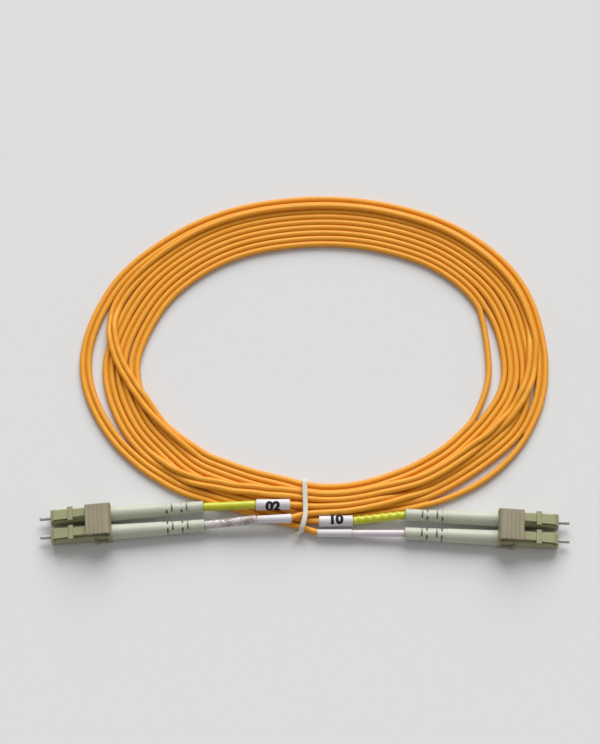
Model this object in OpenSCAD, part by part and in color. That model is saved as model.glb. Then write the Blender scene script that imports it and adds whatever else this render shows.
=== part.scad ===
// Duplex fibre optic patch cord: a two-fibre zip cord, coiled and tied, with a pair of
// small-form-factor latched plugs on each end.
// Millimetres, +Z up. The origin is on the surface that the cord lies on, midway between
// the two plug pairs. A plug is modelled pointing along +X, with its axis on the X axis
// and its front face at X = 0, and is then set in its place.

/* [Plug housing] */
// Width and height of the square plug housing
housing_w = 4.5; // [4.3:0.05:4.6]
// Length of the housing from its front face
housing_len = 14; // [13:0.25:16]
// Chamfer along the housing's four long edges
housing_chamfer = 0.5; // [0.2:0.05:0.6]
// Chamfer round the front face
front_chamfer = 0.35; // [0.1:0.05:0.5]
// Diameter of the socket round the ferrule
socket_d = 3.0; // [2.8:0.05:3.2]
// Depth of the socket
socket_depth = 1.6; // [1.2:0.1:2]
// Thickness of the shoulder that the ferrule's flange rests behind
shoulder_t = 0.8; // [0.6:0.05:1]
// Diameter of the cavity for the flange and the spring
cavity_d = 3.0; // [2.9:0.05:3.2]
// Length of the snap window in each side wall
window_len = 1.2; // [0.8:0.1:1.6]
// Height of the snap window
window_h = 1.6; // [1:0.1:2]
// Distance from the front of the rear body's nose to the snap window
window_inset = 0.8; // [0.6:0.1:1.2]

/* [Ferrule] */
// Diameter of the ceramic ferrule
ferrule_d = 1.25; // [1.2:0.01:1.3]
// Length of the ferrule
ferrule_len = 6.4; // [6:0.1:7]
// How far the ferrule stands out of the housing
ferrule_out = 3.7; // [3.2:0.1:4]
// Bevel round the ferrule's tip
ferrule_bevel = 0.15; // [0.05:0.05:0.3]
// Diameter of the seat that the ferrule is pressed into its flange by
ferrule_seat_d = 0.92; // [0.91:0.01:0.94]
// How far the ferrule can be pushed back
ferrule_travel = 1.5; // [1:0.1:2]

/* [Ferrule flange] */
// Diameter of the flange's neck
neck_d = 2.0; // [1.8:0.05:2.1]
// How far the neck stands in front of the shoulder
neck_out = 0.3; // [0.1:0.05:0.6]
// Width across the flats of the hexagonal collar
collar_af = 2.4; // [2.2:0.05:2.45]
// Length of the collar
collar_len = 1.8; // [1.4:0.1:2.2]
// Diameter of the tube that guides the spring
guide_d = 1.6; // [1.4:0.05:1.8]
// Length of the guide tube
guide_len = 2.1; // [1.5:0.1:3]
// Diameter of the buffered fibre
fibre_d = 0.9; // [0.8:0.05:1]

/* [Spring] */
// Outer diameter of the coil spring
spring_d = 2.7; // [2.5:0.05:2.8]
// Diameter of the spring's wire
spring_wire = 0.35; // [0.25:0.05:0.4]
// Turns of the spring
spring_turns = 5; // [4:1:7]

/* [Rear body] */
// Length of the nose that plugs into the housing
nose_len = 3.5; // [3:0.1:4.5]
// Width and height of the square block behind the housing
block_w = 4.0; // [3.6:0.05:4.2]
// Length of the block
block_len = 5.4; // [4.8:0.1:7]
// Diameter of the barrel that the crimp sleeve closes on
barrel_d = 3.0; // [2.8:0.05:3.2]
// Length of the barrel
barrel_len = 4.6; // [4:0.1:6]
// Bore for the buffered fibre
fibre_bore_d = 1.3; // [1.2:0.05:1.5]
// Grip rings turned into the barrel
barrel_rings = 4; // [2:1:6]
// Depth of the grip rings
ring_depth = 0.15; // [0.05:0.05:0.25]

/* [Crimp sleeve] */
// Wall of the crimp sleeve
crimp_wall = 0.25; // [0.2:0.05:0.35]
// How far the sleeve's front lies behind the block
crimp_back = 0.6; // [0.4:0.1:1]
// Length of the narrow end that grips the jacket
crimp_neck_len = 2.4; // [1.5:0.1:3]
// Wall of the narrow end
crimp_neck_wall = 0.3; // [0.2:0.05:0.35]

/* [Boot] */
// Length of the strain relief boot
boot_len = 29.9; // [26:0.5:34]
// Diameter of the boot at the block
boot_front_d = 5.1; // [4.9:0.05:5.3]
// Diameter of the boot where its slotted part begins
boot_mid_d = 4.5; // [4.2:0.05:4.8]
// Diameter of the boot at its end
boot_end_d = 3.9; // [3.6:0.05:4.1]
// Length of the plain collar at the front
boot_collar_len = 1.6; // [1:0.1:3]
// Length of the plain ring at the end
boot_ring_len = 4.5; // [3:0.5:6]
// Length of the slotted part
boot_slot_zone = 9; // [8:0.5:11]
// Width of one bend relief slot
slot_w = 0.55; // [0.4:0.05:0.8]
// Distance between the two slots of a pair
slot_step = 1.65; // [1.4:0.05:2]
// Distance between the pairs
slot_pair_step = 4.8; // [4.2:0.1:5.5]
// Thickness of the ribs that the slots leave
slot_rib = 1.3; // [1:0.1:1.8]
// Flare of the mouth that the cord leaves by
mouth_flare = 0.35; // [0.2:0.05:0.5]
// Step down behind the collar and where the slotted part begins
boot_step = 0.1; // [0.05:0.05:0.2]

/* [Latch] */
// Distance from the front face to the latch's root
root_back = 1.3; // [1.2:0.05:1.6]
// Height of the root above the plug's axis
root_up = 2.35; // [2.3:0.05:2.5]
// Diameter of the round root
root_d = 0.9; // [0.8:0.05:1]
// Width of the latch's front part
latch_w = 3.0; // [2.6:0.1:3.2]
// Width of the latch's tail
tail_w = 2.5; // [2.2:0.1:2.8]
// Thickness of the latch's arm
latch_t = 0.7; // [0.6:0.05:0.8]
// Length of the latch from its root
latch_len = 12.0; // [11.7:0.1:12.3]
// Slope of the latch at rest, in degrees
latch_slope = 9.5; // [9.2:0.1:9.6]
// How far the latch turns when it is pressed, in degrees
latch_press = 7.9; // [7:0.1:8]
// Distance from the root to the front of the lugs
lug_at = 4.8; // [4:0.1:6]
// Length of the lugs
lug_len = 1.3; // [1:0.1:1.6]
// Height of the lugs above the arm's middle
lug_h = 0.75; // [0.5:0.05:0.9]

/* [Duplex clip] */
// Distance between the two ferrules
pitch = 6.25; // [6.25:0.05:6.6]
// Thickness of the clip's floor
clip_floor = 0.7; // [0.6:0.05:1]
// Thickness of the clip's side rails
clip_side = 0.55; // [0.5:0.05:0.8]
// Thickness of the bar over the plugs
clip_bar = 0.8; // [0.7:0.05:1]
// Length of the rear frame, along the plugs
frame_len = 1.2; // [1.1:0.05:1.3]
// Height of the side rails above the clip's floor
rail_h = 1.0; // [0.6:0.1:1.5]
// Diameter of the rounded posts at the front of the rails
post_d = 0.9; // [0.7:0.05:1.1]
// Height of the posts above the clip's floor
post_h = 2.6; // [1.5:0.1:3]
// Height of the middle web above the clip's floor
web_h = 3.2; // [2:0.1:3.4]
// Wall round the trigger's pin
cheek_wall = 0.35; // [0.25:0.05:0.5]
// Distance from the clip's rear to the trigger's pin
hinge_inset = 0.7; // [0.65:0.05:0.8]

/* [Trigger] */
// Width of the trigger
trigger_w = 10.0; // [9.4:0.1:10.2]
// Thickness of the trigger's plate
trigger_t = 0.7; // [0.6:0.05:0.8]
// Diameter of the trigger's round root
trigger_root_d = 1.0; // [0.9:0.05:1.1]
// Diameter of the trigger's hinge pin
pin_d = 0.6; // [0.5:0.05:0.7]
// Distance from the front face to the trigger's front edge
trigger_front = 11.3; // [11.1:0.1:11.6]
// Height of the plate above the plug's axis, at its front edge
trigger_front_up = 5.85; // [5.7:0.05:6.1]
// Height of the plate at its crest
trigger_crest_up = 6.2; // [6:0.05:6.4]
// Radius of the bend behind the crest
trigger_bend_r = 1.3; // [1.1:0.1:1.5]
// Diameter of the bar that presses on the latches
press_bar_d = 0.8; // [0.7:0.05:0.9]
// Distance from the front face to the press bar
press_bar_back = 12.6; // [12.4:0.05:12.7]
// How far the trigger turns when it is pressed, in degrees
trigger_press = 14; // [12:0.5:14]
// Grip ridges across the trigger
ridges = 4; // [2:1:5]
// Height of a ridge
ridge_h = 0.15; // [0.1:0.05:0.2]
// Length of a ridge at its foot, along the trigger
ridge_len = 0.6; // [0.4:0.05:0.8]
// Distance from the trigger's front edge to the first ridge
ridge_inset = 1.2; // [1:0.1:1.5]

/* [Cord] */
// Distance between the front faces of the two plug pairs
span = 163.4; // [163:0.1:166]
// Diameter of one jacket of the zip cord
jacket_d = 2.0; // [1.8:0.1:2]
// Length of the marking sleeves next to the boots
sleeve_len = 16.5; // [15:0.5:17]
// Diameter of the yellow sleeves
yellow_sleeve_d = 2.8; // [2.5:0.1:2.9]
// Diameter of the loose white sleeve on the left
loose_sleeve_d = 2.8; // [2.5:0.1:2.9]
// Diameter of the tight white sleeve on the right
tight_sleeve_d = 2.4; // [2.3:0.1:2.8]
// Length of the number labels
label_len = 10.8; // [10:0.2:11]
// Diameter of the number labels
label_d = 3.6; // [3.2:0.1:3.7]

/* [Tie] */
// Width of the tie
tie_w = 1.8; // [1.4:0.1:2.4]
// Thickness of the tie
tie_t = 0.5; // [0.4:0.05:0.6]
// Length of the tie's loose tail
tail_len = 4.0; // [3:0.5:6]
// Heading of the tail, in degrees
tail_heading = 205; // [190:5:230]

/* [Clearances] */
// Radial clearance of a hinge
hinge_clear = 0.05; // [0.03:0.01:0.08]
// Clearance round a piece that slides
slide_clear = 0.1; // [0.08:0.01:0.15]
// Clearance round a piece that is pushed into another
push_clear = 0.03; // [0.02:0.01:0.05]
// Gap between the press bar and the latches at rest
press_gap = 0.12; // [0.08:0.01:0.2]
// Gap between pieces that follow each other along the cord
cord_gap = 0.25; // [0.2:0.05:0.4]

/* [Hidden] */
$fn = 48;
SIDES = ["left", "right"];
PORTS = ["a", "b"];
TAGS = [for (s = SIDES) for (p = PORTS) str(s, "_", p)];
PLUG_PARTS = ["housing", "latch", "ferrule", "ferrule_flange", "ferrule_spring", "rear_body",
              "crimp_sleeve", "boot", "buffered_fibre", "sleeve", "label", "leg"];
PAIR_PARTS = ["duplex_clip", "trigger"];

OVER = 0.01;                       // how far a cut runs past the face it opens
housing_r = housing_w / 2;
block_r = block_w / 2;
axis_z = clip_floor + push_clear + block_r;

// Stations along a plug, measured back from its front face.
shoulder_front = socket_depth;
shoulder_rear = shoulder_front + shoulder_t;
collar_front = shoulder_rear + slide_clear;
collar_rear = collar_front + collar_len;
guide_rear = collar_rear + guide_len;
neck_front = shoulder_front - neck_out;
ferrule_rear = ferrule_len - ferrule_out;
block_front = housing_len;
nose_front = housing_len - nose_len;
block_rear = block_front + block_len;
barrel_rear = block_rear + barrel_len;
jacket_front = barrel_rear + slide_clear;
fibre_rear = jacket_front - ferrule_travel - cord_gap;
crimp_front = block_rear + crimp_back;
crimp_rear = jacket_front + crimp_neck_len;
boot_front = block_rear;
boot_rear = boot_front + boot_len;
slots_front = boot_rear - boot_ring_len - boot_slot_zone;
window_front = nose_front + window_inset;

socket_r = socket_d / 2;
cavity_r = cavity_d / 2;
shoulder_hole_r = neck_d / 2 + slide_clear;
nose_r = cavity_r - push_clear;
crimp_r = barrel_d / 2 + crimp_wall;
crimp_neck_r = jacket_d / 2 + crimp_neck_wall;
jacket_r = jacket_d / 2;
jacket_bore_r = jacket_r + hinge_clear;

// The latch's root, its seat, and the relief that it swings into.
root_r = root_d / 2;
seat_r = root_r + hinge_clear;
lip_front = root_back - root_r - front_chamfer;
lip_up = root_up + root_r;
lip_low = housing_r - housing_chamfer;
relief_half = latch_w / 2 + slide_clear;
relief_up = root_up - latch_t / 2 - slide_clear;
relief_rear = 10.4;
lug_low = -0.1;
lug_lead = 0.5;

// The clip's frame and the trigger's root in it.
window_half = block_r + push_clear;
clip_half = pitch / 2 + window_half + clip_side;
clip_low = -axis_z;
clip_floor_up = clip_low + clip_floor;
clip_front = block_front + push_clear;
frame_front = block_rear - frame_len;
bar_up = window_half + clip_bar;
trigger_root_r = trigger_root_d / 2;
hinge_back = block_rear - hinge_inset;
hinge_up = bar_up + trigger_root_r + slide_clear;
cheek_r = pin_d / 2 + hinge_clear + cheek_wall;
cheek_t = clip_half - trigger_w / 2 - slide_clear;
web_half = pitch / 2 - window_half;

// The press bar touches the latches' tails, where the bar's underside meets their top.
press_bar_r = press_bar_d / 2;
latch_rise = (press_bar_back - root_back) * tan(latch_slope);
latch_top_up = root_up + latch_rise + latch_t / 2 / cos(latch_slope);
press_bar_up = latch_top_up + press_gap + press_bar_r;

// Places of the two plug pairs: front face, then heading of the plugs.
HEADS = [[[-span / 2, -1.2, axis_z], 184.5], [[span / 2, -2.6, axis_z], -3]];
// Headings of the sleeve and the label of each leg as it leaves its boot: azimuth, climb.
LEG_HEADINGS = [[[[0.8, 5.2], [0.5, 0]], [[5.2, 5.4], [1.5, 0]]],
                [[[186.3, -1.5], [181, 0]], [[179.2, -2.1], [179.6, 0]]]];
// The rest of each leg, chosen by hand, up to where it goes into the coil.
LEG_ROUTES = [[[[0, 5.9, 4.2], [6, 6.2, 4.2], [12, 7.6, 4.1]],
               [[0, 2.7, 4.2], [6, 3.9, 4.4], [12, 5.3, 4.6], [18, 7.5, 4.6], [24, 10.1, 4.4]]],
              [[[0, 1.5, 1.7], [-6, 2.9, 1.1], [-12, 4.6, 1], [-18, 6.7, 1], [-24, 9.2, 1], [-29, 11.6, 1]],
               [[0, -0.6, 1.7], [-6, 0.7, 1.1], [-12, 2.4, 1], [-18, 4.4, 1], [-24, 6.8, 1],
                [-30, 9.5, 1], [-35, 12.1, 1]]]];
// Stations round the coil from the tie, chosen by hand: x, y of its middle, half width, height.
COIL = [[0, 9.8, 4.5, 4.9], [14, 9.3, 5.6, 5.6], [28, 11.4, 6.4, 5.6], [42, 15.2, 8.4, 5.2],
        [56, 23, 9.8, 5], [66, 36, 10.4, 4.6], [71, 55, 10.3, 4.6], [66, 80, 10.2, 4.6],
        [50, 97, 9.8, 4.6], [28, 106, 9.8, 4.6], [4, 108.6, 9.7, 4.6], [-22, 105, 9.9, 4.6],
        [-42, 95, 9.8, 5], [-57, 79, 10.1, 5.2], [-64, 56, 10.2, 5.4], [-56, 34, 10.5, 5.6],
        [-40, 19.6, 9.2, 5.4], [-27, 15.2, 6.4, 5], [-14, 12.8, 4.2, 4.6], [-5.5, 11.4, 3, 4.6]];
COIL_LIFT = 0.65;                  // the coil's underside over the tie
COIL_LIFT_LEN = 3.5;               // half the length that is lifted
COIL_STEPS = 3;                    // rings between two stations
COIL_SIDES = 12;
TUBE_SIDES = 8;
TIE_Y = [-2.3, 14.6];              // inside of the tie's loop
TIE_UP = 5.35;
TIE_ROUND = 1.6;
TAIL_UP = 1.2;                     // the tail's lower edge, and its height
TAIL_H = 1.4;

PLASTIC = "#b9b98e";
CLIP_PLASTIC = "#b6a68c";
BOOT_RUBBER = "#e2e5cf";
CERAMIC = "#e8ebe8";
STEEL = "#b4b6b8";
JACKET = "#f0962c";
YELLOW = "#c9cc25";
WHITE = "#f2f0f2";
TIE_WHITE = "#f1efdc";

// ---------- geometry helpers ----------

// Turn a solid made along +Z so that it runs back along -X.
module backwards(from) {
    translate([-from, 0, 0]) rotate([0, -90, 0]) children();
}

// A round bar along the plug from one station to another, with its two radii.
module bar(from, to, r1, r2) {
    backwards(from) cylinder(h = to - from, r1 = r1, r2 = r2);
}

// A round bar across the plug, at a station and a height.
module cross_bar(back, up, r, half) {
    translate([-back, half, up]) rotate([90, 0, 0]) cylinder(h = 2 * half, r = r);
}

// A block between two stations, between two heights, and of one half width.
module block(from, to, low, up, half) {
    translate([-to, -half, low]) cube([to - from, 2 * half, up - low]);
}

// A side view, given as [back, up] points, drawn out to a half width.
module side_profile(points, half) {
    translate([0, half, 0]) rotate([90, 0, 0]) linear_extrude(2 * half)
        polygon([for (p = points) [-p[0], p[1]]]);
}

// An outline in the Y-Z plane, drawn out between two stations.
module end_profile(from, to) {
    translate([-to, 0, 0]) rotate([90, 0, 90]) linear_extrude(to - from) children();
}

// A square with chamfered corners.
module chamfered_square(half, c) {
    polygon([[-half, -half + c], [-half + c, -half], [half - c, -half], [half, -half + c],
             [half, half - c], [half - c, half], [-half + c, half], [-half, half - c]]);
}

function unit(v) = v / norm(v);
function heading(az, climb) = [cos(az) * cos(climb), sin(az) * cos(climb), sin(climb)];

// Ring of points round p, square to direction d.
function ring(p, d, r, sides) =
    let (across = unit(cross(d, [0, 0, 1])), up = cross(across, d))
    [for (i = [0 : sides - 1]) p + r * (cos(360 * i / sides) * across + sin(360 * i / sides) * up)];

// Direction of a route at its point i: halfway between the pieces that meet there.
function course(route, i) =
    let (last = len(route) - 1)
    unit((i == 0 ? [0, 0, 0] : unit(route[i] - route[i - 1]))
         + (i == last ? [0, 0, 0] : unit(route[i + 1] - route[i])));

// Side walls between rings of equal size; "closed" joins the last ring to the first.
function walls(rings, sides, closed) =
    [for (i = [0 : rings - (closed ? 1 : 2)]) for (j = [0 : sides - 1])
        let (a = i * sides, b = (i + 1) % rings * sides, k = (j + 1) % sides)
        each [[a + j, a + k, b + k], [a + j, b + k, b + j]]];

module tube(route, r, sides) {
    rings = len(route);
    points = [for (i = [0 : rings - 1]) each ring(route[i], course(route, i), r, sides)];
    caps = [[for (j = [sides - 1 : -1 : 0]) j], [for (j = [0 : sides - 1]) (rings - 1) * sides + j]];
    polyhedron(points, concat(walls(rings, sides, false), caps), convexity = 6);
}

// Place a cylinder-like solid, made along +Z, at p and along direction d.
module along(p, d) {
    translate(p) rotate([0, acos(d[2] / norm(d)), atan2(d[1], d[0])]) children();
}

// ---------- the plug ----------

module housing() {
    color(PLASTIC) difference() {
        union() {
            intersection() {
                end_profile(0, housing_len) chamfered_square(housing_r, housing_chamfer);
                side_profile([[0, -housing_r + front_chamfer], [front_chamfer, -housing_r],
                              [housing_len, -housing_r], [housing_len, housing_r],
                              [front_chamfer, housing_r], [0, housing_r - front_chamfer]], housing_r);
            }
            // the lip that the latch's root sits behind
            side_profile([[lip_front, lip_low], [lip_front, housing_r],
                          [root_back - root_r, lip_up], [root_back, lip_up],
                          [root_back + seat_r, housing_r], [root_back + seat_r, lip_low]],
                         housing_r - housing_chamfer);
        }
        bar(-OVER, shoulder_front, socket_r, socket_r);
        bar(-OVER, shoulder_rear + OVER, shoulder_hole_r, shoulder_hole_r);
        bar(shoulder_rear, housing_len + OVER, cavity_r, cavity_r);
        cross_bar(root_back, root_up, seat_r, housing_r + OVER);
        block(root_back, relief_rear, relief_up, lip_up + OVER, relief_half);
        block(window_front, window_front + window_len, -window_h / 2, window_h / 2, housing_r + OVER);
    }
}

// The latch, with its root at the origin and its arm level, running back along -X.
module level_latch() {
    half_t = latch_t / 2;
    lug_rear = lug_at + lug_len;
    cross_bar(0, 0, root_r, latch_w / 2);
    side_profile([[0, -half_t], [0, half_t], [lug_rear, half_t], [lug_rear, -half_t]], latch_w / 2);
    side_profile([[lug_rear - OVER, -half_t], [lug_rear - OVER, half_t], [latch_len, half_t],
                  [latch_len, 0], [latch_len - half_t, -half_t]], tail_w / 2);
    // the lugs: a ramp at the front, a square shoulder behind
    side_profile([[lug_at - lug_lead, lug_low], [lug_at - lug_lead, half_t], [lug_at, lug_h],
                  [lug_rear, lug_h], [lug_rear, lug_low]], housing_r);
}

module latch() {
    color(PLASTIC) translate([-root_back, 0, root_up]) rotate([0, latch_slope, 0]) level_latch();
}

module ferrule() {
    r = ferrule_d / 2;
    color(CERAMIC) union() {
        bar(-ferrule_out + ferrule_bevel, neck_front, r, r);
        bar(-ferrule_out, -ferrule_out + ferrule_bevel, r - ferrule_bevel, r);
        bar(neck_front - OVER, ferrule_rear, ferrule_seat_d / 2, ferrule_seat_d / 2);
    }
}

module ferrule_flange() {
    collar_r = collar_af / sqrt(3);
    color(STEEL) difference() {
        union() {
            bar(neck_front, collar_front, neck_d / 2, neck_d / 2);
            backwards(collar_front) cylinder(h = collar_len, r = collar_r, $fn = 6);
            bar(collar_rear, guide_rear, guide_d / 2, guide_d / 2);
        }
        bar(neck_front - OVER, ferrule_rear, ferrule_seat_d / 2, ferrule_seat_d / 2);
        bar(ferrule_rear - OVER, guide_rear + OVER, fibre_d / 2, fibre_d / 2);
    }
}

module buffered_fibre() {
    color("white") bar(ferrule_rear, fibre_rear, fibre_d / 2, fibre_d / 2);
}

module ferrule_spring() {
    steps = 10;
    wire_r = spring_wire / 2;
    r = spring_d / 2 - wire_r;
    front = collar_rear + hinge_clear + wire_r;
    rear = nose_front - hinge_clear - wire_r;
    turns = spring_turns;
    route = [for (i = [0 : turns * steps]) let (a = 360 * i / steps)
             [-front - (rear - front) * i / (turns * steps), r * cos(a), r * sin(a)]];
    color(STEEL) tube(route, wire_r, 6);
}

module rear_body() {
    ring_step = (barrel_len - crimp_back) / (barrel_rings + 0.5);
    color(PLASTIC) difference() {
        union() {
            bar(nose_front, block_front + OVER, nose_r, nose_r);
            end_profile(block_front, block_rear) chamfered_square(block_r, housing_chamfer / 2);
            bar(block_rear - OVER, barrel_rear, barrel_d / 2, barrel_d / 2);
            // the tabs that snap into the housing's windows
            side_profile([[window_front + push_clear, -window_h / 2 + push_clear],
                          [window_front + push_clear, window_h / 2 - push_clear],
                          [window_front + window_len - push_clear, window_h / 2 - push_clear],
                          [window_front + window_len - push_clear, -window_h / 2 + push_clear]],
                         housing_r - push_clear);
        }
        bar(nose_front - OVER, barrel_rear + OVER, fibre_bore_d / 2, fibre_bore_d / 2);
        // grip rings under the crimp sleeve
        for (i = [1 : barrel_rings]) backwards(crimp_front + (i - 0.5) * ring_step)
            difference() {
                cylinder(h = ring_step / 2, r = barrel_d / 2 + OVER);
                translate([0, 0, -OVER])
                    cylinder(h = ring_step / 2 + 2 * OVER, r = barrel_d / 2 - ring_depth);
            }
    }
}

module crimp_sleeve() {
    color(STEEL) difference() {
        union() {
            bar(crimp_front, barrel_rear, crimp_r, crimp_r);
            bar(barrel_rear - OVER, jacket_front + crimp_wall, crimp_r, crimp_neck_r);
            bar(jacket_front, crimp_rear, crimp_neck_r, crimp_neck_r);
        }
        bar(crimp_front - OVER, barrel_rear, barrel_d / 2, barrel_d / 2);
        bar(barrel_rear - OVER, crimp_rear + OVER, jacket_r, jacket_r);
    }
}

module boot() {
    collar_rear_at = boot_front + boot_collar_len;
    ring_front = boot_rear - boot_ring_len;
    ring_d = boot_end_d + 2 * boot_step;
    crimp_bore = crimp_r + push_clear;
    neck_bore = crimp_neck_r + push_clear;
    color(BOOT_RUBBER) difference() {
        union() {
            bar(boot_front, collar_rear_at, boot_front_d / 2, boot_front_d / 2);
            bar(collar_rear_at, slots_front, boot_front_d / 2 - boot_step, boot_mid_d / 2);
            bar(slots_front, ring_front, boot_mid_d / 2 - boot_step, boot_end_d / 2);
            bar(ring_front, boot_rear, ring_d / 2, boot_end_d / 2);
        }
        bar(boot_front - OVER, jacket_front + crimp_wall, crimp_bore, crimp_bore);
        bar(boot_front - OVER, crimp_rear + slide_clear, neck_bore, neck_bore);
        bar(boot_front - OVER, boot_rear + OVER, jacket_bore_r, jacket_bore_r);
        bar(boot_rear - mouth_flare, boot_rear + OVER, jacket_bore_r, jacket_bore_r + mouth_flare);
        // pairs of bend relief slots: the first is cut from the sides, the second from above and below
        for (pair = [0, 1]) for (turn = [0, 1]) for (side = [0, 180])
            translate([-(slots_front + slot_step + pair * slot_pair_step + turn * slot_step), 0, 0])
            rotate([90 * turn + side, 0, 0])
            translate([-slot_w / 2, slot_rib / 2, -boot_mid_d])
            cube([slot_w, boot_mid_d, 2 * boot_mid_d]);
    }
}

// ---------- the clip and its trigger ----------

module duplex_clip() {
    ports = [-pitch / 2, pitch / 2];
    color(CLIP_PLASTIC) difference() {
        union() {
            block(clip_front, block_rear, clip_low, clip_floor_up, clip_half);
            block(frame_front, block_rear, clip_low, bar_up, clip_half);
            block(clip_front, block_rear, clip_low, clip_floor_up + web_h, web_half);
            for (s = [-1, 1]) {
                translate([0, s * (clip_half - clip_side / 2), 0])
                    block(clip_front, block_rear, clip_low, clip_floor_up + rail_h, clip_side / 2);
                translate([-clip_front - post_d / 2, s * (clip_half - clip_side + post_d / 2), clip_low])
                    cylinder(h = clip_floor + post_h, d = post_d);
                // the cheeks that carry the trigger's pin
                translate([0, s * (clip_half - cheek_t / 2), 0]) {
                    block(hinge_back - cheek_r, block_rear, bar_up - OVER, hinge_up, cheek_t / 2);
                    cross_bar(hinge_back, hinge_up, cheek_r, cheek_t / 2);
                }
            }
        }
        for (y = ports) translate([0, y, 0])
            block(frame_front - OVER, block_rear + OVER, -window_half, window_half, window_half);
        cross_bar(hinge_back, hinge_up, pin_d / 2 + hinge_clear, clip_half + OVER);
    }
}

// Points of an arc in [back, up], from angle a0 to a1, where 0 points backwards and 90 up.
function arc(back, up, r, a0, a1, n) =
    [for (i = [0 : n]) let (a = a0 + (a1 - a0) * i / n) [back + r * cos(a), up + r * sin(a)]];

module trigger() {
    half = trigger_w / 2;
    rear = hinge_back + trigger_root_r;
    bend_back = rear - trigger_bend_r;
    bend_up = trigger_crest_up - trigger_bend_r;
    inner_r = trigger_bend_r - trigger_t;
    fall = (trigger_crest_up - trigger_front_up) / (bend_back - trigger_front);
    nose_r = trigger_t / 2;
    ridge_first = trigger_front + ridge_inset;
    ridge_step = (bend_back - ridge_first) / ridges;
    color(CLIP_PLASTIC) union() {
        cross_bar(hinge_back, hinge_up, pin_d / 2, clip_half);
        cross_bar(hinge_back, hinge_up, trigger_root_r, half);
        // the plate: up from the root, round the bend and forwards to a rounded edge
        side_profile(concat([[rear, hinge_up]],
                            arc(bend_back, bend_up, trigger_bend_r, 0, 90, 8),
                            arc(trigger_front + nose_r, trigger_front_up - nose_r, nose_r, 90, 270, 8),
                            arc(bend_back, bend_up, inner_r, 90, 0, 6),
                            [[rear - trigger_t, hinge_up]]), half);
        cross_bar(press_bar_back, press_bar_up, press_bar_r, half);
        for (i = [0 : ridges - 1])
            let (back = ridge_first + i * ridge_step,
                 top = trigger_front_up + fall * (back - trigger_front) + ridge_h)
            side_profile([[back, trigger_front_up - nose_r], [back + ridge_len / 6, top],
                          [back + ridge_len * 2 / 3, top],
                          [back + ridge_len, trigger_front_up - nose_r]], half - nose_r);
    }
}

// ---------- the cord ----------

// Where a plug's point at a station lies in the part's own frame.
function port_side(s, p) = (p == 0 ? 1 : -1) * (s == 1 ? 1 : -1) * pitch / 2;
function port_point(s, p, back) =
    let (yaw = HEADS[s][1], y = port_side(s, p))
    HEADS[s][0] + [-back * cos(yaw) - y * sin(yaw), -back * sin(yaw) + y * cos(yaw), 0];
function sleeve_heading(s, p) = heading(LEG_HEADINGS[s][p][0][0], LEG_HEADINGS[s][p][0][1]);
function label_heading(s, p) = heading(LEG_HEADINGS[s][p][1][0], LEG_HEADINGS[s][p][1][1]);
function sleeve_end(s, p) =
    port_point(s, p, boot_rear) + (sleeve_len + 2 * cord_gap) * sleeve_heading(s, p);
function label_end(s, p) =
    sleeve_end(s, p) + (label_len + 2 * cord_gap) * label_heading(s, p);

module leg(s, p) {
    color(JACKET) tube(concat([port_point(s, p, jacket_front), port_point(s, p, boot_rear),
                               sleeve_end(s, p), label_end(s, p)], LEG_ROUTES[s][p]),
                       jacket_r, TUBE_SIDES);
}

// A tube slipped over the jacket, from p along d.
module slipped_on(p, d, length, dia) {
    along(p + cord_gap * d, d) difference() {
        cylinder(h = length, d = dia);
        translate([0, 0, -OVER]) cylinder(h = length + 2 * OVER, r = jacket_bore_r);
    }
}

module sleeve(s, p) {
    dia = p == 0 ? yellow_sleeve_d : (s == 0 ? loose_sleeve_d : tight_sleeve_d);
    color(p == 0 ? YELLOW : WHITE)
        slipped_on(port_point(s, p, boot_rear), sleeve_heading(s, p), sleeve_len, dia);
}

module label(s, p) {
    color(WHITE) slipped_on(sleeve_end(s, p), label_heading(s, p), label_len, label_d);
}

// Smooth closed curve through a list of stations: value between i and i + 1 at t from 0 to 1.
function smooth(list, i, t) =
    let (n = len(list), a = list[(i + n - 1) % n], b = list[i],
         c = list[(i + 1) % n], d = list[(i + 2) % n])
    0.5 * (2 * b + (c - a) * t + (2 * a - 5 * b + 4 * c - d) * t * t + (3 * b - a - 3 * c + d) * t * t * t);

// One ring of the coil: a flattened oval with full shoulders, standing on the surface.
function coil_ring(at, ahead) =
    let (d = unit([ahead[0] - at[0], ahead[1] - at[1], 0]), across = [d[1], -d[0], 0],
         lift = COIL_LIFT * exp(-pow(norm([at[0], at[1] - COIL[0][1]]) / COIL_LIFT_LEN, 4)),
         half_h = (at[3] - lift) / 2)
    [for (i = [0 : COIL_SIDES - 1])
        let (a = 360 * (i + 0.5) / COIL_SIDES, c = cos(a), s = sin(a),
             fill = 1 / pow(pow(abs(c), 3) + pow(abs(s), 3), 1 / 3))
        [at[0], at[1], lift + half_h] + at[2] * fill * c * across + [0, 0, half_h * fill * s]];

module cord_coil() {
    n = len(COIL);
    rings = n * COIL_STEPS;
    middle = [for (i = [0 : n - 1]) for (k = [0 : COIL_STEPS - 1]) smooth(COIL, i, k / COIL_STEPS)];
    points = [for (i = [0 : rings - 1]) each coil_ring(middle[i], middle[(i + 1) % rings])];
    color(JACKET) polyhedron(points, walls(rings, COIL_SIDES, true), convexity = 8);
}

// The tie's outline in the Y-Z plane, a thickness t outside the loop's inside.
module tie_outline(t) {
    r = TIE_ROUND + t;
    low = [TIE_Y[0] - t + r, tie_t - t + r];
    high = [TIE_Y[1] + t - r, TIE_UP + t - r];
    for (y = [low[0], high[0]]) for (z = [low[1], high[1]]) translate([y, z]) circle(r = r);
    translate([low[0] - r, low[1]]) square([high[0] - low[0] + 2 * r, high[1] - low[1]]);
    translate([low[0], low[1] - r]) square([high[0] - low[0], high[1] - low[1] + 2 * r]);
}

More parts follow.
